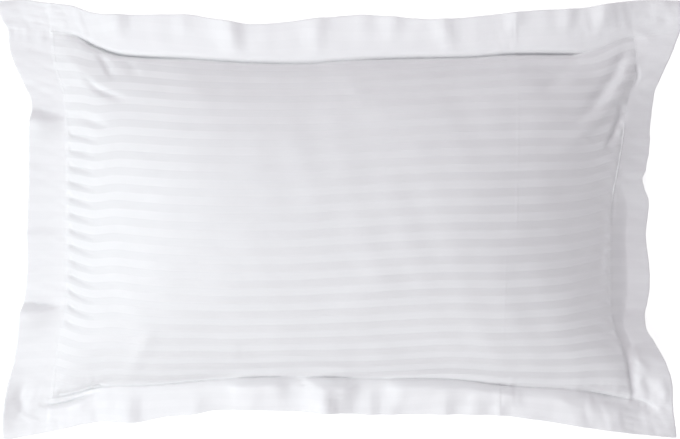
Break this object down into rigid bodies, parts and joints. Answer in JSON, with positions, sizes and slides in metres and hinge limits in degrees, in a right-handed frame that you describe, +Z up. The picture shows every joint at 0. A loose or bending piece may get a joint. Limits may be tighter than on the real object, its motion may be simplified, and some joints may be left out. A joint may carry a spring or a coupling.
{
  "type": "filled oxford pillowcase",
  "caption": "Rectangular striped cotton pillowcase, filled and crowned, with drawn-in sides and a flat rippled border all round.",
  "frame": {"origin": "on the surface that the pillow rests on, under the middle of its outline", "axes": "+X along the stripes and the long side, +Y across the stripes towards the top side, +Z up out of the front face"},
  "size_m": [0.8464, 0.5474, 0.1582],
  "materials": {
    "striped_cotton": "white sateen with tone-on-tone satin stripes"
  },
  "bodies": {
    "root": {"case_body": "striped_cotton", "border": "striped_cotton"}
  },
  "joints": []
}
